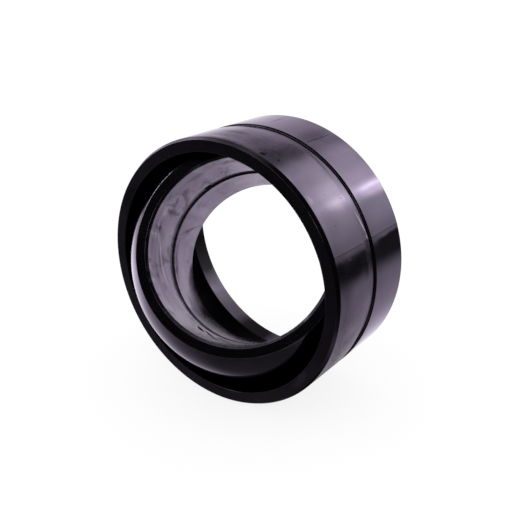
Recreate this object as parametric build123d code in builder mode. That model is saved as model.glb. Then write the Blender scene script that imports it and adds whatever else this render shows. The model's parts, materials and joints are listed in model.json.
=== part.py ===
"""Radial spherical plain bearing: a ball-shaped inner ring, swivelled inside a split outer ring."""
import os
from math import cos, radians, sin, sqrt, tan

from build123d import *

os.makedirs("parts", exist_ok=True)

# Inner ring: the ball that the shaft goes through
bore_diameter = 78.4
inner_width = 67.0
face_land = 5.2  # radial width of each end face, from the bore's wall to the ball
bore_chamfer_radial = 1.2
bore_chamfer_axial = 0.8
bore_groove_width = 6.8
bore_groove_depth = 0.8
bore_groove_corner = 0.6  # radius in the bottom corners
inner_hole_diameter = 3.5
inner_hole_angle = -7.0  # first oil hole, counted from the swivel axis
inner_hole_count = 2
ball_rim_break = 0.4

# Outer ring: the race that goes in the housing
running_clearance = 0.08  # radial gap between the ball and the raceway
race_wall = 4.3  # at the middle of the raceway, before the groove is taken out of it
outer_width = 56.0
relief_depth = 10.0  # how far each relief cone reaches in from its end face
relief_angle = 6.8
outer_chamfer_radial = 1.0
outer_chamfer_axial = 1.7
outer_groove_width = 6.5
outer_groove_depth = 0.9
outer_groove_corner = 0.4  # radius in the bottom corners
outer_hole_diameter = 4.0
outer_hole_angle = 125.0  # first oil hole, counted as the fracture's angle is
outer_hole_count = 2
relief_mouth_break = 0.5
raceway_edge_break = 0.5

# Fracture: the one radial split that lets the race open over the ball
fracture_angle = 20.1  # counted from +X up towards +Z, as every angle round the outer ring is
fracture_gap = 0.15
fracture_drift = (-0.25, -0.05, -0.4, 0.0, -0.05, 0.0, 0.4, 0.75)  # tangential wander, rear to front

# How far every cut runs on past the surface it leaves by
cut_overrun = 1.0

# How the ball lies: its swivel axis crosses the outer ring, and the angle is its turn about that axis
swivel_axis_angle = 142.3
swivel_angle = 34.5

bore_radius = bore_diameter / 2
rim_radius = bore_radius + face_land
inner_half_width = inner_width / 2
ball_radius = sqrt(rim_radius**2 + inner_half_width**2)

raceway_radius = ball_radius + running_clearance
outer_radius = raceway_radius + race_wall
outer_half_width = outer_width / 2
raceway_half_width = outer_half_width - relief_depth
raceway_edge_radius = sqrt(raceway_radius**2 - raceway_half_width**2)
relief_mouth_radius = raceway_edge_radius + relief_depth * tan(radians(relief_angle))

# The outer ring's axis lies level and its front face looks along -Y
outer_axes = Plane(origin=(0, 0, 0), x_dir=(1, 0, 0), z_dir=(0, -1, 0))


def direction_across(axes, angle):
    """Direction across a ring at an angle round its axis."""
    return axes.x_dir * cos(radians(angle)) + axes.y_dir * sin(radians(angle))


swivel_axis = direction_across(outer_axes, swivel_axis_angle)
swivel_side = direction_across(outer_axes, swivel_axis_angle + 90)
inner_axes = Plane(
    origin=outer_axes.origin,
    x_dir=swivel_axis,
    z_dir=outer_axes.z_dir * cos(radians(swivel_angle)) - swivel_side * sin(radians(swivel_angle)),
)


def section_plane(axes):
    """Plane of a ring's half section: local X is the radius, local Y runs along the ring's axis."""
    return Plane(origin=axes.origin, x_dir=axes.x_dir, z_dir=-axes.y_dir)


def radial_plane(axes, angle):
    """Plane through a ring's centre that faces outward: local X is tangential, local Y is axial."""
    outward = direction_across(axes, angle)
    return Plane(origin=axes.origin, x_dir=axes.z_dir.cross(outward), z_dir=outward)


def corners(sketch, radius):
    """The profile's vertices at one radius, such as both edges of a raceway."""
    return sketch.vertices().filter_by(lambda vertex: abs(vertex.X - radius) < 1e-4)


# Outer ring
chamfer_start_radius = outer_radius - outer_chamfer_radial
chamfer_end = outer_half_width - outer_chamfer_axial
outer_groove_floor = outer_radius - outer_groove_depth

with BuildPart() as outer_ring:
    with BuildSketch(section_plane(outer_axes)) as outer_section:
        with BuildLine():
            ThreePointArc(
                (raceway_edge_radius, -raceway_half_width),
                (raceway_radius, 0),
                (raceway_edge_radius, raceway_half_width),
            )
            Polyline(
                (raceway_edge_radius, raceway_half_width),
                (relief_mouth_radius, outer_half_width),
                (chamfer_start_radius, outer_half_width),
                (outer_radius, chamfer_end),
                (outer_radius, outer_groove_width / 2),
                (outer_groove_floor, outer_groove_width / 2),
                (outer_groove_floor, -outer_groove_width / 2),
                (outer_radius, -outer_groove_width / 2),
                (outer_radius, -chamfer_end),
                (chamfer_start_radius, -outer_half_width),
                (relief_mouth_radius, -outer_half_width),
                (raceway_edge_radius, -raceway_half_width),
            )
        make_face()
        fillet(corners(outer_section, raceway_edge_radius), raceway_edge_break)
        fillet(corners(outer_section, relief_mouth_radius), relief_mouth_break)
        fillet(corners(outer_section, outer_groove_floor), outer_groove_corner)
    revolve(axis=Axis(outer_axes.origin, outer_axes.z_dir))

    # Oil holes from the groove through to the raceway
    outer_hole_angles = [outer_hole_angle + step * 360 / outer_hole_count for step in range(outer_hole_count)]
    with BuildSketch(*[radial_plane(outer_axes, angle) for angle in outer_hole_angles]):
        Circle(outer_hole_diameter / 2)
    extrude(amount=outer_radius + cut_overrun, mode=Mode.SUBTRACT)

    # The fracture: a hairline strip that wanders as it crosses the ring, cut through one wall
    fracture_reach = outer_half_width + cut_overrun
    fracture_step = 2 * fracture_reach / (len(fracture_drift) - 1)
    with BuildSketch(radial_plane(outer_axes, fracture_angle)):
        with BuildLine():
            trace = [
                (drift, index * fracture_step - fracture_reach) for index, drift in enumerate(fracture_drift)
            ]
            left_side = [(across - fracture_gap / 2, along) for across, along in trace]
            right_side = [(across + fracture_gap / 2, along) for across, along in reversed(trace)]
            Polyline(*left_side, *right_side, close=True)
        make_face()
    extrude(amount=outer_radius + cut_overrun, mode=Mode.SUBTRACT)

outer_ring.part.label = "outer_ring"
export_step(outer_ring.part, "parts/outer_ring.step")


# Inner ring
bore_groove_floor = bore_radius + bore_groove_depth

with BuildPart() as inner_ring:
    with BuildSketch(section_plane(inner_axes)) as inner_section:
        with BuildLine():
            ThreePointArc((rim_radius, -inner_half_width), (ball_radius, 0), (rim_radius, inner_half_width))
            Polyline(
                (rim_radius, inner_half_width),
                (bore_radius + bore_chamfer_radial, inner_half_width),
                (bore_radius, inner_half_width - bore_chamfer_axial),
                (bore_radius, bore_groove_width / 2),
                (bore_groove_floor, bore_groove_width / 2),
                (bore_groove_floor, -bore_groove_width / 2),
                (bore_radius, -bore_groove_width / 2),
                (bore_radius, bore_chamfer_axial - inner_half_width),
                (bore_radius + bore_chamfer_radial, -inner_half_width),
                (rim_radius, -inner_half_width),
            )
        make_face()
        fillet(corners(inner_section, rim_radius), ball_rim_break)
        fillet(corners(inner_section, bore_groove_floor), bore_groove_corner)
    revolve(axis=Axis(inner_axes.origin, inner_axes.z_dir))

    # Oil holes from the bore's groove through to the ball's surface
    inner_hole_angles = [inner_hole_angle + step * 360 / inner_hole_count for step in range(inner_hole_count)]
    with BuildSketch(*[radial_plane(inner_axes, angle) for angle in inner_hole_angles]):
        Circle(inner_hole_diameter / 2)
    extrude(amount=ball_radius + cut_overrun, mode=Mode.SUBTRACT)

inner_ring.part.label = "inner_ring"
export_step(inner_ring.part, "parts/inner_ring.step")
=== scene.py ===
import json
import math

import bmesh
import bpy
from mathutils import Matrix, Vector


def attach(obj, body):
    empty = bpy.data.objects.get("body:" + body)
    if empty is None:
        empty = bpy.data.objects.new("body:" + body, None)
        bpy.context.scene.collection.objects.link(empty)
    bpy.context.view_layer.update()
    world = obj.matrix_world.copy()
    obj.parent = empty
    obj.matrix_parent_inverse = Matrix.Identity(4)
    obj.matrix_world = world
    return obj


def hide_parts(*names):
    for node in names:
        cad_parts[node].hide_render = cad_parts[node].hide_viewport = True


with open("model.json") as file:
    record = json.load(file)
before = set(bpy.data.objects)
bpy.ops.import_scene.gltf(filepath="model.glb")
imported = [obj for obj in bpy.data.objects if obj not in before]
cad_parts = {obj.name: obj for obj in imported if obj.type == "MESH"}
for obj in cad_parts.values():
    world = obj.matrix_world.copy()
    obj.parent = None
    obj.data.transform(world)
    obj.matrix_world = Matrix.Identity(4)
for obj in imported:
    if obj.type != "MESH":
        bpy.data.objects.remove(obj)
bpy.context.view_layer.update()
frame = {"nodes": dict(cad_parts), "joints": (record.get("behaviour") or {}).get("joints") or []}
print("frame loaded:", ", ".join(sorted(frame["nodes"])))

millimetre = 0.001


# Where each ring lies: its front axis, and the two directions across it

swivelAngle = 34.5  # how far the ball is turned in its race


def ringAxes(across, front):
    across, front = Vector(across).normalized(), Vector(front).normalized()
    return {"across": across, "up": front.cross(across), "front": front}


swivelAxis = Vector(frame["joints"][0]["axis"])
tilt = Matrix.Rotation(math.radians(swivelAngle), 3, swivelAxis)
outerAxes = ringAxes((1, 0, 0), (0, -1, 0))
innerAxes = ringAxes(swivelAxis, tilt @ outerAxes["front"])


# How both rings are made

making = {
    "cornerSteps": 4,
    "holeSides": 48,
    "weldReach": 0.002,  # closes the slivers that drilling leaves
    "sharpAngle": 50,
}


def addObject(name, bm):
    mesh = bpy.data.meshes.new(name)
    bm.to_mesh(mesh)
    bm.free()
    added = bpy.data.objects.new(name, mesh)
    bpy.context.scene.collection.objects.link(added)
    return added


def putInPlace(bm, turn):
    # From millimetres about a vertical axis to metres in the part's own frame
    bmesh.ops.transform(bm, matrix=turn.to_4x4() @ Matrix.Scale(millimetre, 4), verts=bm.verts)


def drawSection(bm, edge, arcSteps, outline):
    # A half section, with x as the radius and z along the axis: its arc runs from the rear edge to the front
    # one, and the outline and its mirror image lead back. A corner is a radius, a place along and a rounding.
    radius, along, rounding = edge
    rear = bm.verts.new((radius, 0, -along))
    swept = bmesh.ops.spin(
        bm, geom=[rear], cent=(0, 0, 0), axis=(0, -1, 0), angle=2 * math.atan2(along, radius), steps=arcSteps
    )
    end = next(item for item in swept["geom_last"] if isinstance(item, bmesh.types.BMVert))
    corners = [(rear, rounding), (end, rounding)]
    mirrored = [(radius, -along, rounding) for radius, along, rounding in reversed(outline)]
    for radius, along, rounding in outline + mirrored:
        corner = bm.verts.new((radius, 0, along))
        bm.edges.new((end, corner))
        corners.append((corner, rounding))
        end = corner
    bm.edges.new((end, rear))
    for corner, rounding in corners:
        bmesh.ops.bevel(
            bm, geom=[corner], offset=rounding, offset_type="OFFSET", segments=making["cornerSteps"],
            profile=0.5, affect="VERTICES", material=-1, clamp_overlap=True,
        )


def facePlace(face):
    # How far a face is from the ring's axis, and from its middle along it
    middle = face.calc_center_median()
    return math.hypot(middle.x, middle.y), abs(middle.z)


def finishRing(name, bm, axes, finishes, zoneOf):
    # zoneOf names the finish that a face has
    bmesh.ops.recalc_face_normals(bm, faces=bm.faces)
    zones = list(finishes)
    for face in bm.faces:
        face.material_index = zones.index(zoneOf(face))
        face.smooth = True
    putInPlace(bm, Matrix((axes["across"], axes["up"], axes["front"])).transposed())
    ring = addObject(name, bm)
    for finish in finishes.values():
        ring.data.materials.append(finish)
    return ring


def holeBar(axes, holes, index):
    # A round bar from the ring's middle outward, which cuts one oil hole
    angle = math.radians(holes["angle"] + index * 360 / holes["count"])
    outward = axes["across"] * math.cos(angle) + axes["up"] * math.sin(angle)
    radius = holes["diameter"] / 2
    bm = bmesh.new()
    bmesh.ops.create_cone(
        bm, cap_ends=True, segments=making["holeSides"], radius1=radius, radius2=radius, depth=holes["reach"]
    )
    bmesh.ops.translate(bm, verts=bm.verts, vec=(0, 0, holes["reach"] / 2))
    putInPlace(bm, outward.to_track_quat("Z", "Y").to_matrix())
    return addObject("holeBar", bm)


def drillRing(ring, axes, holes):
    bars = [holeBar(axes, holes, index) for index in range(holes["count"])]
    for bar in bars:
        cut = ring.modifiers.new("hole", "BOOLEAN")
        cut.operation, cut.object, cut.solver = "DIFFERENCE", bar, "EXACT"
    bpy.context.view_layer.update()
    drilled = bpy.data.meshes.new_from_object(ring.evaluated_get(bpy.context.evaluated_depsgraph_get()))
    ring.modifiers.clear()
    bm = bmesh.new()
    bm.from_mesh(drilled)
    bmesh.ops.remove_doubles(bm, verts=bm.verts, dist=making["weldReach"] * millimetre)
    bm.to_mesh(ring.data)
    bm.free()
    for mesh in [drilled] + [bar.data for bar in bars]:
        bpy.data.meshes.remove(mesh)
    ring.data.set_sharp_from_angle(angle=math.radians(making["sharpAngle"]))
    weighted = ring.modifiers.new("flatFacesFirst", "WEIGHTED_NORMAL")
    weighted.keep_sharp = True


# Shader patterns are written as sums of these. Sockets that share a name go by their number.

class Pattern:
    def __init__(self, tree, socket=None):
        self.tree = tree
        self.socket = socket

    def make(self, kind, settings, sockets, out=0):
        node = self.tree.nodes.new(kind)
        for name, value in settings.items():
            setattr(node, name, value)
        for name, value in sockets.items():
            if isinstance(value, Pattern):
                self.tree.links.new(value.socket, node.inputs[name])
            else:
                node.inputs[name].default_value = value
        return Pattern(self.tree, node.outputs[out])

    def maths(self, operation, *values):
        return self.make("ShaderNodeMath", {"operation": operation}, dict(enumerate(values)))

    def __add__(self, other):
        return self.maths("ADD", self, other)

    def __radd__(self, other):
        return self.maths("ADD", other, self)

    def __sub__(self, other):
        return self.maths("SUBTRACT", self, other)

    def __rsub__(self, other):
        return self.maths("SUBTRACT", other, self)

    def __mul__(self, other):
        return self.maths("MULTIPLY", self, other)

    def __rmul__(self, other):
        return self.maths("MULTIPLY", other, self)

    def __pow__(self, other):
        return self.maths("POWER", self, other)

    def __abs__(self):
        return self.maths("ABSOLUTE", self)


def bareTree(owner):
    owner.use_nodes = True
    owner.node_tree.nodes.clear()
    return owner.node_tree


def showSurface(shader, outputKind="ShaderNodeOutputMaterial"):
    output = shader.tree.nodes.new(outputKind)
    shader.tree.links.new(shader.socket, output.inputs["Surface"])


def rise(value, low, high, bottom=0.0, top=1.0):
    return value.make(
        "ShaderNodeMapRange", {"interpolation_type": "SMOOTHSTEP"},
        {"Value": value, "From Min": low, "From Max": high, "To Min": bottom, "To Max": top},
    )


def dot(vector, direction):
    return vector.make(
        "ShaderNodeVectorMath", {"operation": "DOT_PRODUCT"}, {0: vector, 1: tuple(direction)}, out="Value"
    )


def scaledSum(vector, scale, shift):
    return vector.make("ShaderNodeVectorMath", {"operation": "MULTIPLY_ADD"}, {0: vector, 1: scale, 2: shift})


def point(x, y, z):
    return x.make("ShaderNodeCombineXYZ", {}, {"X": x, "Y": y, "Z": z})


def noise(place, stretch, shift, detail, roughness, distortion=0.0, out=0):
    # stretch is how often the pattern repeats per millimetre along each way of the ring
    moved = scaledSum(place, stretch, (shift, shift, shift))
    return moved.make(
        "ShaderNodeTexNoise", {},
        {"Vector": moved, "Scale": 1.0, "Detail": detail, "Roughness": roughness, "Distortion": distortion},
        out=out,
    )


def mixColour(factor, first, second):
    return factor.make("ShaderNodeMix", {"data_type": "RGBA"}, {0: factor, 6: first, 7: second}, out=2)


def mixShader(factor, first, second):
    return factor.make("ShaderNodeMixShader", {}, {0: factor, 1: first, 2: second})


# Steel finishes: black steel under oil, with dried film that dulls it, rubbed places that shine, and painted
# highlights

steel = {
    "black": (0.074, 0.061, 0.085, 1),
    "blackWorn": (0.098, 0.083, 0.112, 1),
    "wornFrom": (0.25, 0.75),
    "blackCool": (0.078, 0.072, 0.100, 1),
    "coolFrom": (0.35, 0.65),
    "coolMost": 0.4,
    "blackEdge": (0.93, 0.84, 1.0, 1),
    "roughFrom": (0.3, 0.7),
    "film": (0.020, 0.019, 0.020, 1),
    "filmEdge": (0.45, 0.43, 0.46, 1),
    "filmRoughness": 0.3,
    "rubbedAndHighlit": (0.30, 0.27, 0.33, 1),
    "rubbedAndHighlitEdge": (0.97, 0.92, 1.0, 1),
    "edgeLeast": 0.2,  # how much of an edge's shine is left where the grit is darkest
    "markLeast": 0.55,  # a mark's strength where its pattern is darkest
    "markMore": 0.9,  # and what the pattern adds to it
    "gritFrom": (0.3, 0.7),
    "grooveEdge": 0.1,  # over how much a groove's roughness fades in
}
specks = {"scale": 0.12, "shift": 2.0, "radius": 0.22, "soft": 0.3, "film": 0.6}

# Each pattern is shifted by its own amount, so that no two line up. A finish says how the last four stretch.
patterns = {
    "wander": {"stretch": (0.3, 0.3, 0.3), "shift": 7.0, "detail": 3.0, "roughness": 0.55},
    "grit": {"stretch": (0.5, 0.5, 0.5), "shift": 51.0, "detail": 3.0, "roughness": 0.6},
    "lines": {"shift": 3.0, "detail": 2.0, "roughness": 0.6},
    "waves": {"shift": 31.0, "detail": 2.0, "roughness": 0.4},
    "blotch": {"shift": 11.0, "roughness": 0.55},
    "gleam": {"shift": 23.0, "roughness": 0.5},
}


def skinOf(tree, axes, look):
    # The ring's own frame in millimetres, and its skin unrolled flat: round it by along it, or by its radius
    place = Pattern(tree, tree.nodes.new("ShaderNodeTexCoord").outputs["Object"])
    across, up, along = (dot(place, axes[way] / millimetre) for way in ("across", "up", "front"))
    own = point(across, up, along)
    over = (across * across + up * up) ** 0.5 if look["face"] else along
    roundIt = up.maths("ARCTAN2", up, across) * look["radius"]
    amount = look["wander"]
    flat = point(roundIt - amount / 2, over - amount / 2, 0.0)
    return own, over, scaledSum(noise(own, **patterns["wander"], out="Color"), (amount, amount, 0), flat)


def marksOn(flat, look, sign):
    # The ovals of one sign: below 0 they darken with film, above 0 they brighten as rubbed metal and, for
    # some marks, painted highlights
    total = 0.0
    for turn, over, halfRound, halfOver, slant, soft, strength in look["marks"]:
        if strength * sign <= 0:
            continue
        local = flat.make("ShaderNodeMapping", {"vector_type": "TEXTURE"}, {
            "Vector": flat, "Location": (math.radians(turn) * look["radius"], over, 0),
            "Rotation": (0, 0, math.radians(slant)), "Scale": (halfRound, halfOver, 1),
        })
        away = local.make("ShaderNodeVectorMath", {"operation": "LENGTH"}, {0: local}, out="Value")
        total = rise(away, 1 + soft, 1 - soft, 0.0, abs(strength)) + total
    return total


def specksOn(own):
    shift, radius = specks["shift"], specks["radius"] * specks["scale"]
    moved = own.make("ShaderNodeVectorMath", {"operation": "ADD"}, {0: own, 1: (shift, shift, shift)})
    cells = moved.make("ShaderNodeTexVoronoi", {}, {"Vector": moved, "Scale": specks["scale"]})
    return rise(cells, radius * (1 + specks["soft"]), radius * (1 - specks["soft"])) * specks["film"]


def mottled(pattern):
    return steel["markLeast"] + steel["markMore"] * pattern


def metal(colour, roughness, edgeTint, bump):
    return bump.make("ShaderNodeBsdfPrincipled", {}, {
        "Base Color": colour, "Metallic": 1.0, "Roughness": roughness, "Specular Tint": edgeTint,
        "Normal": bump,
    })


def steelFinish(name, axes, look):
    material = bpy.data.materials.new(name)
    own, over, flat = skinOf(bareTree(material), axes, look)
    swirl = {"detail": look["detail"], "distortion": look["swirl"]}
    blotch = noise(own, look["blotch"], **patterns["blotch"], **swirl)
    gleam = noise(own, look["gleam"], **patterns["gleam"], **swirl)
    lines = noise(own, look["lines"], **patterns["lines"])
    waves = noise(own, look["waves"], **patterns["waves"])
    grit = noise(own, **patterns["grit"])

    lively = rise(over, *look["lively"])
    film = rise(blotch, *look["filmFrom"]) * look["film"] * lively
    film = film + marksOn(flat, look, -1) * mottled(gleam)
    film = film * rise(grit, *steel["gritFrom"], 1 - look["grit"], 1 + look["grit"]) + specksOn(own)
    film = film.maths("MINIMUM", film, 1.0)
    shine = rise(gleam, *look["shineFrom"]) * look["shine"] * lively
    shine = shine + marksOn(flat, look, 1) * mottled(blotch)
    # edges shine as rubbed metal: rubbed wear, and a painted highlight along each edge
    for place, reach, strength in look["edges"]:
        edge = rise(abs(over - place), reach, 0.0)
        shine = shine + edge * rise(grit, *steel["gritFrom"], steel["edgeLeast"], 1.0) * strength
    shine = shine * (1 - film)

    height = waves * look["waveHeight"] + lines * look["lineHeight"]
    bump = height.make("ShaderNodeBump", {}, {"Strength": 1.0, "Distance": millimetre, "Height": height})
    grooveHalfWidth, grooveRoughness = look["groove"]
    grooveFrom = (grooveHalfWidth + steel["grooveEdge"], grooveHalfWidth - steel["grooveEdge"])
    roughness = rise(blotch, *steel["roughFrom"], *look["roughness"]) + (lines - 0.5) * look["lineRoughness"]
    roughness = roughness + rise(over, *look["rougher"])
    roughness = roughness + rise(abs(over), *grooveFrom, 0.0, grooveRoughness)

    colour = mixColour(rise(gleam, *steel["wornFrom"]), steel["black"], steel["blackWorn"])
    colour = mixColour(rise(waves, *steel["coolFrom"], 0.0, steel["coolMost"]), colour, steel["blackCool"])
    oiled = metal(colour, roughness, steel["blackEdge"], bump)
    dulled = metal(steel["film"], steel["filmRoughness"], look["filmEdge"], bump)
    # brighter metal for rubbed places, which also paints the highlights on edges and on some bright marks
    rubbedAndHighlit = metal(steel["rubbedAndHighlit"], roughness + look["rubbedAndHighlitRoughness"], steel["rubbedAndHighlitEdge"], bump)
    showSurface(mixShader(shine, mixShader(film, oiled, dulled), rubbedAndHighlit))
    return material


# What a finish has unless its own dictionary says otherwise. A place on it is along the ring's axis, or on an
# end face it is the radius, in millimetres.
plainLook = {
    "face": False,  # True on an end face
    "lively": (0.0, 1.0, 1.0, 1.0),  # two places, and how strong the film and the shine are at each
    "rougher": (0.0, 1.0, 0.0, 0.0),  # two places, and how much rougher it is at each
    "groove": (-1.0, 0.0),  # half width of a groove, and how much rougher its floor is
    "rubbedAndHighlitRoughness": 0.0,
    "filmEdge": steel["filmEdge"],
    # each edge, rubbed and with a painted highlight: place, half width, strength
    "edges": (),
    # each mark: turn in degrees, place, half sizes round and over, slant, softness, strength;
    # a strength below 0 is dark film, and above 0 is rubbed bright, for some marks a painted highlight
    "marks": (),
}


# Outer ring: the race, split at one place and sprung a little open there

outerShape = {
    "seatRadius": 60.0,
    "halfWidth": 28.0,
    "chamferRadial": 1.0,
    "chamferAxial": 1.7,
    "chamferFaceRounding": 0.16,
    "chamferSeatRounding": 0.22,
    "grooveHalfWidth": 3.25,
    "grooveDepth": 0.9,
    "grooveRimRounding": 0.10,
    "grooveFloorRounding": 0.4,
    "racewayRadius": 55.7,
    "racewayHalfWidth": 18.0,
    "racewayRounding": 0.35,
    "racewaySteps": 36,
    "mouthRadius": 53.903,
    "mouthRounding": 0.35,
    "fineTurn": 24.0,  # each side of the split is spun in finer steps
    "fineSteps": 44,
    "wideSteps": 156,
    "splitAngle": 20.1,
    "splitGap": 0.15,
    "splitDrift": (-0.25, -0.05, -0.4, 0.0, -0.05, 0.0, 0.4, 0.75),  # tangential wander, rear to front
    "splitOverrun": 1.0,  # how far past the end faces the wander starts and ends
    "splitGrain": ((0.05, 2.9, 0.0), (0.035, 7.3, 1.0)),  # height, pace and start of each fine wave
    "driftFade": 9.0,
    "flareHeight": 0.08,
    "flareLength": 2.4,
    "seatInside": 57.5,  # faces further out than this are the seat, its groove and its chamfers
    "faceMargin": 0.1,
}
outerHoles = {"diameter": 4.0, "angle": 125.0, "count": 2, "reach": 61.0}

seatLook = {
    **plainLook,
    "radius": outerShape["seatRadius"],
    "wander": 1.2,
    "lines": (0.03, 0.03, 2.4),
    "lineHeight": 0.0012,
    "lineRoughness": 0.02,
    "blotch": (0.05, 0.05, 0.05),
    "gleam": (0.05, 0.05, 0.045),
    "swirl": 0.6,
    "detail": 2.2,
    "lively": (-8.0, 4.0, 0.45, 1.0),  # the rear half is cleaner
    "waves": (0.06, 0.06, 0.05),
    "waveHeight": 0.10,
    "roughness": (0.03, 0.08),
    "rougher": (-12.0, -6.0, 0.0, 0.065),
    "groove": (outerShape["grooveHalfWidth"], 0.08),
    "grit": 0.15,
    "filmFrom": (0.50, 0.85),
    "film": 0.32,
    "shineFrom": (0.55, 0.85),
    "shine": 0.16,
    # rubbed edges with painted highlights
    "edges": ((26.3, 0.3, 0.6), (-26.3, 0.3, 0.12), (3.25, 0.15, 0.12), (-3.25, 0.2, 0.4)),
    "marks": (
        # smear in front of the groove, and the film between it and the top
        (66.3, 22.0, 5.4, 6.0, 0, 0.7, -0.45),
        (65.8, 9.0, 4.8, 7.0, 0, 0.7, -0.50),
        (73.0, 16.0, 6.5, 11.0, 0, 0.7, -0.24),
        (69.4, 23.8, 1.3, 0.8, 30, 0.6, -0.35),
        (63.5, 21.1, 0.5, 1.3, 20, 0.6, -0.45),
        (84.0, 17.0, 12.0, 9.0, 0, 0.7, -0.32),
        (88.0, 25.6, 16.0, 1.2, 0, 0.6, -0.4),
        (90.0, 13.0, 6.0, 1.6, 0, 0.7, -0.26),
        (92.0, 21.0, 5.0, 2.5, 10, 0.7, -0.15),
        # wiped streaks at the top, painted brighter as streaky highlights
        (94.5, 8.0, 5.0, 2.2, 0, 0.7, 0.22),
        (92.0, 23.0, 3.0, 1.4, 0, 0.7, 0.3),
        # stains below the crack
        (12.0, 13.0, 4.0, 5.0, 0, 0.5, -0.38),
        (14.5, 9.5, 2.0, 2.6, -20, 0.5, -0.35),
        (15.5, 24.0, 2.6, 2.6, 20, 0.5, -0.6),
        (11.0, 4.5, 4.5, 1.6, 0, 0.6, -0.35),
        (7.0, 20.0, 5.0, 4.0, 15, 0.7, -0.2),
        # bright spots between them
        (17.2, 16.0, 0.5, 1.6, 0, 0.5, 0.5),
        (13.6, 11.0, 0.3, 0.4, 0, 0.5, 0.7),
        (13.9, 8.8, 0.3, 0.3, 0, 0.5, 1.0),
        # rubbed patch over the shoulder, which also paints a brighter highlight there
        (41.0, 8.5, 9.0, 9.0, 0, 0.8, 0.19),
        (43.9, 23.9, 1.6, 0.9, 0, 0.8, 0.14),
        # darker towards the bottom
        (-3.0, 24.0, 20.0, 5.0, 0, 0.8, -0.28),
        (-44.0, 13.0, 24.0, 15.0, 0, 0.8, -0.95),
        (-30.0, 22.0, 12.0, 8.0, 0, 0.8, -0.4),
        (-40.0, 16.0, 6.0, 8.0, 0, 0.8, -0.25),
        (-52.0, 25.0, 18.0, 5.0, 0, 0.6, -0.9),
        # thin creases behind the groove, and the shade beside one
        (67.1, -12.5, 0.3, 10.5, -1.5, 0.6, -0.4),
        (70.0, -13.0, 3.6, 10.0, 0, 0.7, -0.35),
        (89.1, -16.0, 0.5, 5.0, 0, 0.6, -0.45),
        # small dark dots
        (43.1, 13.9, 0.3, 0.3, 0, 0.6, -0.6),
        (39.4, 5.6, 0.35, 0.35, 0, 0.6, -0.6),
        (31.1, 17.9, 0.3, 0.3, 0, 0.6, -0.6),
        (29.4, -18.4, 0.3, 0.3, 0, 0.6, -0.6),
        (37.4, 22.1, 0.3, 0.3, 0, 0.6, -0.5),
        # darker stripes in the groove
        (58.0, 0.3, 8.0, 0.25, -3.4, 0.5, -0.8),
        (19.5, -0.6, 2.5, 0.5, -8, 0.6, -0.5),
        # brighter places in the groove
        (25.9, -0.95, 5.6, 0.35, 11.6, 0.6, 0.9),
        (21.2, -1.4, 0.8, 0.6, 0, 0.5, 0.9),
    ),
}
outerFaceLook = {
    **plainLook,
    "radius": 56.5,
    "face": True,
    "wander": 1.5,
    "lines": (0.9, 0.9, 0.9),
    "lineHeight": 0.002,
    "lineRoughness": 0.08,
    "blotch": (0.08, 0.08, 0.08),
    "gleam": (0.06, 0.06, 0.06),
    "swirl": 1.2,
    "detail": 3.0,
    "waves": (0.05, 0.05, 0.05),
    "waveHeight": 0.06,
    "roughness": (0.12, 0.22),
    "grit": 0.2,
    "filmFrom": (0.45, 0.80),
    "film": 0.5,
    "shineFrom": (0.60, 0.85),
    "shine": 0.2,
    # rubbed edges with painted highlights
    "edges": ((59.0, 0.25, 0.35), (53.9, 0.25, 0.35)),
    "marks": ((150.0, 56.5, 7.0, 1.6, 10, 0.7, -0.4), (-40.0, 56.0, 5.0, 1.2, -8, 0.7, 0.25)),
}
# The race: darkened all over by the film shader at a nearly even share, and more in three places at its rear
raceLook = {
    **plainLook,
    "radius": 54.0,
    "wander": 1.5,
    "lines": (0.03, 0.03, 2.0),
    "lineHeight": 0.002,
    "lineRoughness": 0.06,
    "blotch": (0.07, 0.07, 0.10),
    "gleam": (0.05, 0.05, 0.14),
    "swirl": 1.0,
    "detail": 3.0,
    "waves": (0.05, 0.05, 0.05),
    "waveHeight": 0.08,
    "roughness": (0.16, 0.24),
    "grit": 0.05,
    "filmFrom": (-0.3, 0.3),
    "film": 0.55,
    "shineFrom": (0.62, 0.85),
    "shine": 0.04,
    # rubbed edges with painted highlights
    "edges": ((18.0, 0.3, 0.4), (-18.0, 0.3, 0.4), (28.0, 0.3, 0.4), (-28.0, 0.3, 0.05)),
    "marks": (
        (-161.0, -23.0, 9.0, 9.0, 0, 0.6, -0.9),
        (-107.0, -20.0, 8.0, 12.0, 0, 0.7, -0.7),
        (150.0, -22.0, 6.0, 1.5, 10, 0.7, -0.4),
    ),
}
brokenLook = {
    **raceLook,
    "lines": (0.8, 0.8, 0.8),
    "lineHeight": 0.12,
    "waves": (0.35, 0.35, 0.35),
    "waveHeight": 0.5,
    "roughness": (0.45, 0.7),
    "edges": (),
    "marks": (),
}


def drawOuterSection(bm):
    shape = outerShape
    edgeRadius = math.sqrt(shape["racewayRadius"] ** 2 - shape["racewayHalfWidth"] ** 2)
    seat, halfWidth, groove = shape["seatRadius"], shape["halfWidth"], shape["grooveHalfWidth"]
    drawSection(
        bm, (edgeRadius, shape["racewayHalfWidth"], shape["racewayRounding"]), shape["racewaySteps"], [
            (shape["mouthRadius"], halfWidth, shape["mouthRounding"]),
            (seat - shape["chamferRadial"], halfWidth, shape["chamferFaceRounding"]),
            (seat, halfWidth - shape["chamferAxial"], shape["chamferSeatRounding"]),
            (seat, groove, shape["grooveRimRounding"]),
            (seat - shape["grooveDepth"], groove, shape["grooveFloorRounding"]),
        ]
    )


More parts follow.
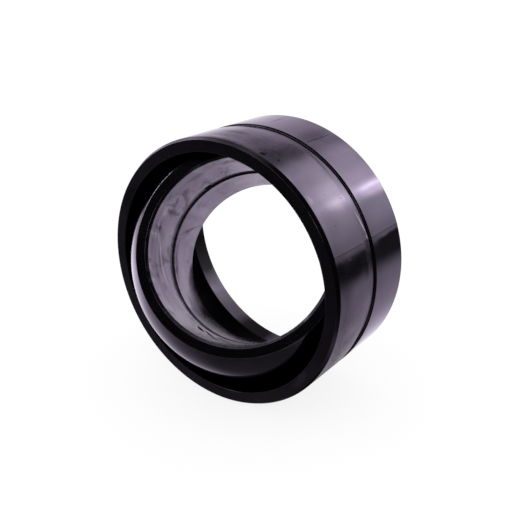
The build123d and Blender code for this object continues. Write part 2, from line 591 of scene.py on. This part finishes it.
def spinSplitRing(bm):
    # Spun from one side of the split to the other, and closed there by its two broken faces
    shape = outerShape
    gapTurn = shape["splitGap"] / shape["seatRadius"]
    fineTurn = math.radians(shape["fineTurn"])
    start = math.radians(shape["splitAngle"]) + gapTurn / 2
    bmesh.ops.rotate(bm, cent=(0, 0, 0), matrix=Matrix.Rotation(start, 3, "Z"), verts=bm.verts)
    profile = bm.verts[:] + bm.edges[:]
    for angle, steps in (
        (fineTurn, shape["fineSteps"]),
        (2 * math.pi - gapTurn - 2 * fineTurn, shape["wideSteps"]),
        (fineTurn, shape["fineSteps"]),
    ):
        swept = bmesh.ops.spin(bm, geom=profile, cent=(0, 0, 0), axis=(0, 0, 1), angle=angle, steps=steps)
        profile = swept["geom_last"]
    bmesh.ops.holes_fill(bm, edges=[edge for edge in bm.edges if edge.is_boundary], sides=0)


def splitDriftAt(along):
    # The crack wanders in long steps, with a fine grain on top
    drift = outerShape["splitDrift"]
    reach = outerShape["halfWidth"] + outerShape["splitOverrun"]
    position = (along + reach) / (2 * reach) * (len(drift) - 1)
    index = min(int(position), len(drift) - 2)
    coarse = drift[index] + (drift[index + 1] - drift[index]) * (position - index)
    grain = outerShape["splitGrain"]
    return coarse + sum(height * math.sin(along * pace + begin) for height, pace, begin in grain)


def wanderSplit(bm):
    # Near the split the ring follows its drift, and its lips stand a little proud
    shape = outerShape
    splitAt = math.radians(shape["splitAngle"])
    for vert in bm.verts:
        radius = math.hypot(vert.co.x, vert.co.y)
        turn = (math.atan2(vert.co.y, vert.co.x) - splitAt) % (2 * math.pi)
        if turn > math.pi:
            turn -= 2 * math.pi
        away = abs(turn) * shape["seatRadius"]
        shift = splitDriftAt(vert.co.z) * max(0.0, 1 - away / shape["driftFade"]) ** 2
        flare = shape["flareHeight"] * math.exp(-away / shape["flareLength"])
        newTurn = splitAt + turn + shift / shape["seatRadius"]
        vert.co.x = (radius + flare) * math.cos(newTurn)
        vert.co.y = (radius + flare) * math.sin(newTurn)


def outerZone(face):
    radius, along = facePlace(face)
    if len(face.verts) > 4:  # only the two faces at the split have more than four sides
        return "broken"
    if along > outerShape["halfWidth"] - outerShape["faceMargin"]:
        return "face"
    return "seat" if radius > outerShape["seatInside"] else "race"


def buildOuterRing():
    bm = bmesh.new()
    drawOuterSection(bm)
    spinSplitRing(bm)
    wanderSplit(bm)
    finishes = {
        "seat": steelFinish("seatSteel", outerAxes, seatLook),
        "face": steelFinish("outerFaceSteel", outerAxes, outerFaceLook),
        "race": steelFinish("raceSteel", outerAxes, raceLook),
        "broken": steelFinish("brokenSteel", outerAxes, brokenLook),
    }
    ring = finishRing("outerRing", bm, outerAxes, finishes, outerZone)
    drillRing(ring, outerAxes, outerHoles)
    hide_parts("outer_ring")
    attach(ring, "outer_ring")
    return ring


outerRing = buildOuterRing()
print("outer ring:", len(outerRing.data.polygons), "faces")


# Inner ring: the ball, with its plain bore

innerShape = {
    "boreRadius": 39.2,
    "halfWidth": 33.5,
    "rimRadius": 44.4,
    "rimRounding": 0.3,
    "chamferRadial": 1.2,
    "chamferAxial": 0.8,
    "chamferRounding": 0.14,
    "grooveHalfWidth": 3.4,
    "grooveDepth": 0.8,
    "grooveRimRounding": 0.10,
    "grooveFloorRounding": 0.6,
    "ballSteps": 54,
    "turnSteps": 240,
    "faceMargin": 0.05,
}
innerHoles = {"diameter": 3.5, "angle": -7.0, "count": 2, "reach": 56.6}

boreLook = {
    **plainLook,
    "radius": innerShape["boreRadius"],
    "wander": 2.6,
    "lines": (0.03, 0.03, 2.2),
    "lineHeight": 0.0004,
    "lineRoughness": 0.01,
    "blotch": (0.14, 0.14, 0.06),
    "gleam": (0.10, 0.10, 0.05),
    "swirl": 0.8,
    "detail": 2.0,
    "lively": (-6.0, 3.0, 0.4, 1.0),
    "waves": (0.06, 0.06, 0.12),
    "waveHeight": 0.12,
    "roughness": (0.08, 0.16),
    "groove": (innerShape["grooveHalfWidth"], 0.25),
    "grit": 0.1,
    "rubbedAndHighlitRoughness": 0.25,
    "filmEdge": (0.15, 0.14, 0.16, 1),
    "filmFrom": (0.49, 0.72),
    "film": 0.46,
    "shineFrom": (0.50, 0.72),
    "shine": 0.55,
    # rubbed edges with painted highlights
    "edges": ((32.8, 0.3, 0.5), (-32.7, 0.25, 0.6), (3.4, 0.2, 0.1), (-3.4, 0.2, 0.3)),
    "marks": (
        # wiped streaks, painted brighter as streaks of highlight
        (-25.0, 8.4, 5.0, 0.9, -4, 0.7, 0.95),
        (-31.0, 10.4, 2.6, 0.8, -10, 0.7, 0.9),
        (38.0, 21.3, 7.0, 0.9, -39.8, 0.8, 0.5),
        (56.5, 14.6, 7.6, 0.8, -17, 0.8, 0.7),
        (76.9, 7.3, 2.8, 0.7, -30, 0.7, 0.8),
        (95.3, 16.4, 1.0, 0.8, 0, 0.6, 0.9),
        # rubbed patches, which also paint brighter reflections on the bore
        (33.0, 9.0, 9.0, 4.0, -15, 0.6, 0.22),
        (-35.0, -14.0, 11.0, 12.0, 0, 0.8, 0.4),
        (60.0, -15.0, 9.0, 5.0, 0, 0.8, 0.3),
        (74.0, -15.0, 7.0, 11.0, 0, 0.8, 0.45),
        (44.0, 12.0, 9.0, 8.0, 0, 0.8, 0.25),
        (110.0, 10.0, 15.0, 26.0, 0, 0.8, 0.95),
        (-14.0, 15.0, 2.0, 3.0, 0, 0.6, 0.5),
        (-20.0, 10.0, 1.6, 3.0, 10, 0.6, 0.5),
        # smudges of film
        (-8.0, 23.7, 4.0, 2.4, 20, 0.7, -0.3),
        (11.3, 18.6, 1.0, 1.8, 20, 0.6, -0.4),
        (19.6, 15.5, 1.2, 5.0, 6, 0.7, -0.38),
        (15.0, 17.0, 2.4, 1.6, 0, 0.8, -0.2),
        (12.9, 5.4, 1.5, 1.8, 0, 0.7, -0.35),
        (52.0, 13.2, 9.0, 0.7, -20, 0.7, -0.35),
        (34.0, 23.5, 5.0, 1.4, 0, 0.7, -0.35),
        (38.0, 28.0, 8.0, 1.6, 0, 0.8, -0.25),
        (50.0, 18.5, 7.0, 1.3, -8, 0.7, -0.4),
        (57.0, 23.0, 8.0, 1.6, -10, 0.8, -0.22),
        (52.0, -6.4, 8.0, 2.2, 0, 0.7, -0.45),
        (63.0, 1.6, 9.0, 2.4, 0, 0.8, -0.2),
        (80.0, 22.0, 8.0, 1.4, -10, 0.8, -0.2),
        (82.0, 14.0, 7.0, 8.0, 0, 0.8, -0.15),
        (26.0, -17.0, 9.5, 0.8, 70, 0.7, -0.45),
        # dark strokes at the bottom
        (105.0, 12.0, 2.8, 1.2, 50, 0.6, -1.1),
        (110.5, 10.5, 3.2, 1.0, 40, 0.6, -1.1),
        (117.0, 16.0, 4.2, 1.1, 35, 0.6, -1.1),
        (121.0, 10.0, 3.6, 1.0, 30, 0.6, -1.1),
        (126.0, 17.0, 4.6, 1.2, 40, 0.6, -1.0),
        (133.0, 24.0, 4.4, 1.2, 40, 0.6, -0.9),
    ),
}
innerFaceLook = {
    **outerFaceLook,
    "radius": 42.0,
    # rubbed edges with painted highlights
    "edges": ((40.4, 0.25, 0.1), (44.3, 0.2, 0.9)),
    "marks": ((100.0, 42.0, 5.0, 1.2, 10, 0.7, -0.4), (-60.0, 42.5, 4.0, 1.0, -8, 0.7, 0.25)),
}
ballLook = {
    **raceLook,
    "radius": 55.0,
    "lines": (0.05, 0.05, 1.2),
    "lineHeight": 0.001,
    "waves": (0.04, 0.04, 0.04),
    "waveHeight": 0.05,
    "roughness": (0.05, 0.10),
    "filmFrom": (0.50, 0.80),
    "film": 0.3,
    "shine": 0.2,
    # rubbed edges with painted highlights
    "edges": ((33.4, 0.25, 0.9), (-33.4, 0.25, 0.9)),
    "marks": ((30.0, 26.0, 9.0, 1.2, 6, 0.7, -0.3), (140.0, 22.0, 7.0, 1.4, -5, 0.7, 0.25)),
}


def drawInnerSection(bm):
    shape = innerShape
    bore, halfWidth, groove = shape["boreRadius"], shape["halfWidth"], shape["grooveHalfWidth"]
    drawSection(
        bm, (shape["rimRadius"], halfWidth, shape["rimRounding"]), shape["ballSteps"], [
            (bore + shape["chamferRadial"], halfWidth, shape["chamferRounding"]),
            (bore, halfWidth - shape["chamferAxial"], shape["chamferRounding"]),
            (bore, groove, shape["grooveRimRounding"]),
            (bore + shape["grooveDepth"], groove, shape["grooveFloorRounding"]),
        ]
    )


def innerZone(face):
    radius, along = facePlace(face)
    margin = innerShape["faceMargin"]
    if along > innerShape["halfWidth"] - margin:
        return "face"
    return "bore" if radius < innerShape["boreRadius"] + innerShape["chamferRadial"] + margin else "ball"


def buildInnerRing():
    bm = bmesh.new()
    drawInnerSection(bm)
    bmesh.ops.spin(
        bm, geom=bm.verts[:] + bm.edges[:], cent=(0, 0, 0), axis=(0, 0, 1),
        angle=2 * math.pi, steps=innerShape["turnSteps"], use_merge=True,
    )
    finishes = {
        "bore": steelFinish("boreSteel", innerAxes, boreLook),
        "face": steelFinish("innerFaceSteel", innerAxes, innerFaceLook),
        "ball": steelFinish("ballSteel", innerAxes, ballLook),
    }
    ring = finishRing("innerRing", bm, innerAxes, finishes, innerZone)
    drillRing(ring, innerAxes, innerHoles)
    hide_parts("inner_ring")
    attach(ring, "inner_ring")
    return ring


innerRing = buildInnerRing()
print("inner ring:", len(innerRing.data.polygons), "faces")


# Camera: the photograph's viewing angle

cameraSet = {
    "place": (0.18815, -0.25853, 0.12968),
    "aim": (0.00218, 0.00092, -0.00120),
    "lens": 52.6,
    "sensor": 36.0,
    "nearest": 0.01,
}


def setCamera():
    camera = bpy.data.objects.new("camera", bpy.data.cameras.new("camera"))
    camera.data.lens = cameraSet["lens"]
    camera.data.sensor_width = cameraSet["sensor"]
    camera.data.clip_start = cameraSet["nearest"]
    camera.location = cameraSet["place"]
    camera.rotation_mode = "QUATERNION"
    aim = Vector(cameraSet["aim"]) - Vector(cameraSet["place"])
    camera.rotation_quaternion = aim.to_track_quat("-Z", "Y")
    bpy.context.scene.collection.objects.link(camera)
    bpy.context.scene.camera = camera


setCamera()
print("camera set")


# Studio: a pale floor, and the white sweep, soft panels and dark room that the steel mirrors

studio = {
    "floorLevel": -0.0601,
    "floorSize": 6.0,
    "floorPaint": 0.18,
    "floorGlow": 0.85,  # with the paint this makes the lit floor white, and leaves a faint shadow
    "plainLight": 1.0,
    "white": 1.0,
    "darkRoom": 0.02,
    "ownSide": (0.0, 0.1),  # keeps a panel off the opposite side of the room
    # the sweep of paper: how bright it is to the right and to the left, and where it turns and ends
    "sweep": {
        "right": 0.74,
        "left": 1.0,
        "turn": (0.24, -0.16),
        "end": (0.80, 0.60),
        "top": (0.72, 0.48),
        "bottom": (-0.95, -0.58),
        "bottomLeft": (-0.93, -0.44),
        "bottomTurn": (-0.42, -0.66),
        "depth": (-0.9, 0.60),
    },
    "ceiling": {"strength": 0.34, "from": (0.70, 0.82), "turn": (0.20, -0.25)},
    "under": {"strength": 0.07, "from": (-0.25, -0.85)},
    # azimuth from +Y towards +X, elevation, half width, half height, softness, strength
    "panels": (
        # the main softbox, behind the right shoulder, from its heart outward
        (23.0, 21.8, 0.018, 0.018, 0.02, 3.0),
        (23.6, 20.7, 0.046, 0.060, 0.035, 2.9),
        (20, 27, 0.13, 0.10, 0.14, 1.5),
        (24, 19.5, 0.20, 0.26, 0.12, 1.12),
        (5, 34, 0.11, 0.08, 0.09, 1.45),
        # low strip on the left, and a higher one
        (-70, -21, 0.30, 0.10, 0.14, 0.75),
        (-76, 40, 0.30, 0.16, 0.20, 0.9),
        # narrow one that edges the ball's rim, and a weak one past it
        (-96, 24, 0.07, 0.34, 0.05, 5.0),
        (-122, 38, 0.16, 0.18, 0.10, 0.35),
        # soft ones that show only from behind
        (140, 25, 0.09, 0.15, 0.07, 2.0),
        (-138, 25, 0.10, 0.15, 0.07, 2.0),
        # strip above the camera
        (172, 60, 0.45, 0.12, 0.10, 1.0),
    ),
    # the shaded folds where the sweep leaves the floor, on the right and on the left
    "folds": (
        {
            "azimuth": 42, "elevation": -8, "side": (0.36, 0.24),
            "top": (0.097, 0.077), "bottom": (-0.22, -0.05), "depth": 0.94,
        },
        {
            "azimuth": -66, "elevation": -2, "side": (0.42, 0.28),
            "top": (0.13, 0.05), "bottom": (-0.13, -0.05), "depth": 0.6,
        },
    ),
}


def facing(azimuth, elevation):
    # The direction to a panel's middle, and the two ways across the panel
    turn, lift = math.radians(azimuth), math.radians(elevation)
    outward = (math.sin(turn) * math.cos(lift), math.cos(turn) * math.cos(lift), math.sin(lift))
    level = (math.cos(turn), -math.sin(turn), 0)
    upright = (-math.sin(turn) * math.sin(lift), -math.cos(turn) * math.sin(lift), math.cos(lift))
    return outward, level, upright


def panelGlow(direction, panel):
    azimuth, elevation, halfWide, halfHigh, soft, strength = panel
    outward, level, upright = facing(azimuth, elevation)
    shape = rise(abs(dot(direction, level)), halfWide + soft, halfWide - soft)
    shape = shape * rise(abs(dot(direction, upright)), halfHigh + soft, halfHigh - soft)
    return shape * rise(dot(direction, outward), *studio["ownSide"]) * strength


def foldShade(direction, fold):
    outward, level, upright = facing(fold["azimuth"], fold["elevation"])
    shape = rise(abs(dot(direction, level)), *fold["side"])
    shape = shape * rise(dot(direction, outward), *studio["ownSide"])
    height = dot(direction, upright)
    return shape * rise(height, *fold["top"]) * rise(height, *fold["bottom"]) * fold["depth"]


def sweepGlow(right, depth, height):
    sweep = studio["sweep"]
    low = rise(height, *sweep["bottom"])
    low = low + (rise(height, *sweep["bottomLeft"]) - low) * rise(right, *sweep["bottomTurn"])
    glow = rise(right, *sweep["turn"], sweep["right"], sweep["left"]) * rise(right, *sweep["end"])
    return glow * rise(height, *sweep["top"]) * low * rise(depth, *sweep["depth"])


def studioGlow(direction):
    # Everything that the steel mirrors, by direction
    ceiling, under = studio["ceiling"], studio["under"]
    right, depth, height = (dot(direction, way) for way in ((1, 0, 0), (0, 1, 0), (0, 0, 1)))
    glow = sweepGlow(right, depth, height)
    for panel in studio["panels"]:
        glow = glow + panelGlow(direction, panel)
    for fold in studio["folds"]:
        glow = glow * (1 - foldShade(direction, fold))
    glow = glow + rise(height, *ceiling["from"]) * rise(right, *ceiling["turn"]) * ceiling["strength"]
    return glow + rise(height, *under["from"]) * under["strength"] + studio["darkRoom"]


def seenBy(tree, *kinds):
    # 1 where the ray is one of these kinds
    path = tree.nodes.new("ShaderNodeLightPath")
    total = Pattern(tree, path.outputs[kinds[0]])
    for kind in kinds[1:]:
        total = total.maths("MAXIMUM", total, Pattern(tree, path.outputs[kind]))
    return total


def setWorld():
    world = bpy.data.worlds.new("studio")
    tree = bareTree(world)
    place = Pattern(tree, tree.nodes.new("ShaderNodeTexCoord").outputs["Generated"])
    mirrored, plain, white = (
        place.make("ShaderNodeBackground", {}, {"Color": (1, 1, 1, 1), "Strength": strength})
        for strength in (studioGlow(place), studio["plainLight"], studio["white"])
    )
    light = mixShader(seenBy(tree, "Is Glossy Ray"), plain, mirrored)
    light = mixShader(seenBy(tree, "Is Camera Ray", "Is Transmission Ray"), light, white)
    showSurface(light, "ShaderNodeOutputWorld")
    world.cycles.sampling_method = "NONE"
    bpy.context.scene.world = world


def setFloor():
    bm = bmesh.new()
    bmesh.ops.create_grid(bm, x_segments=1, y_segments=1, size=studio["floorSize"] / 2)
    bmesh.ops.translate(bm, verts=bm.verts, vec=(0, 0, studio["floorLevel"]))
    floor = addObject("floor", bm)
    floor.visible_glossy = False  # the steel mirrors the world's sweep instead
    material = bpy.data.materials.new("paleFloor")
    floor.data.materials.append(material)
    tree = bareTree(material)
    paint = studio["floorPaint"]
    diffuse = Pattern(tree).make("ShaderNodeBsdfDiffuse", {}, {"Color": (paint, paint, paint, 1)})
    strength = seenBy(tree, "Is Camera Ray") * studio["floorGlow"]
    glow = diffuse.make("ShaderNodeEmission", {}, {"Strength": strength})
    showSurface(diffuse.make("ShaderNodeAddShader", {}, {0: diffuse, 1: glow}))


setWorld()
setFloor()
bpy.context.scene.view_settings.view_transform = "Standard"
print("studio set")
